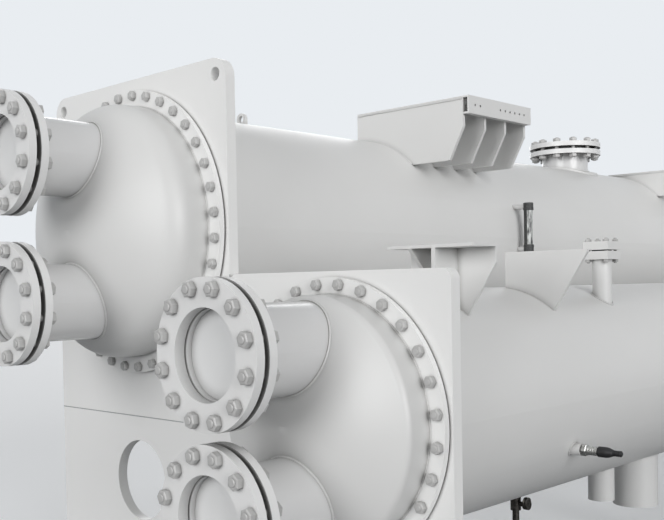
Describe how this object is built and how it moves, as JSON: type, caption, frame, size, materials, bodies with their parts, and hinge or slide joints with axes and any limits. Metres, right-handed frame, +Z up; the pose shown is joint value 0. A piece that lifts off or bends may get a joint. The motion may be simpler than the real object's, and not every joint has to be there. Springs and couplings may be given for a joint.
{
  "type": "twin shell and tube heat exchanger",
  "caption": "Pair of horizontal shell and tube exchangers on shared end plates, with flanged water nozzles, dished heads, brackets and a gas nozzle.",
  "frame": {"origin": "on the floor, midway across the front foot plate, in the plane of the front faces of the end plates", "axes": "+X to the right seen from the water nozzles, +Y from the nozzle end to the rear, +Z up"},
  "size_m": [1.6969, 4.6766, 1.582],
  "materials": {
    "painted_plate": "satin off-white paint on steel plate",
    "painted_shell": "satin off-white paint on rolled steel",
    "gasket": "matt dark gasket sheet",
    "dark_glass": "gloss dark level glass",
    "fitting": "plain steel fitting",
    "black_plastic": "black moulded boot"
  },
  "bodies": {
    "root": {"front_foot": "painted_plate", "rear_foot": "painted_plate", "upper_front_support": "painted_plate", "upper_rear_support": "painted_plate", "upper_front_tube_sheet": "painted_plate", "upper_rear_tube_sheet": "painted_plate", "lower_front_tube_sheet": "painted_plate", "lower_rear_tube_sheet": "painted_plate", "upper_shell": "painted_shell", "lower_shell": "painted_shell", "upper_front_flange": "painted_plate", "upper_front_head": "painted_plate", "upper_rear_flange": "painted_plate", "upper_rear_head": "painted_plate", "lower_front_flange": "painted_plate", "lower_front_head": "painted_plate", "lower_rear_flange": "painted_plate", "lower_rear_head": "painted_plate", "channel_gaskets": "gasket", "upper_nozzle_pipes": "painted_plate", "lower_nozzle_pipes": "painted_plate", "nozzle_flanges": "painted_plate", "nozzle_gaskets": "gasket", "counter_flanges": "painted_plate", "nozzle_blanks": "painted_plate", "gas_nozzle_pipe": "painted_shell", "gas_nozzle_pad": "painted_shell", "gas_blind_flange": "painted_plate", "compressor_gussets": "painted_shell", "compressor_edge_channel": "painted_shell", "compressor_top_plate": "painted_shell", "rear_bracket_gussets": "painted_shell", "rear_bracket_top": "painted_shell", "pipe_bracket_gussets": "painted_shell", "pipe_bracket_shelves": "painted_shell", "level_glass": "dark_glass", "level_glass_ends": "fitting", "port_pipe": "painted_shell", "port_flanges": "painted_shell", "liquid_stubs": "painted_shell", "drain_valve": "fitting", "sensor_boss": "painted_shell", "temperature_sensor": "black_plastic", "lifting_eyes": "painted_shell"}
  },
  "joints": []
}
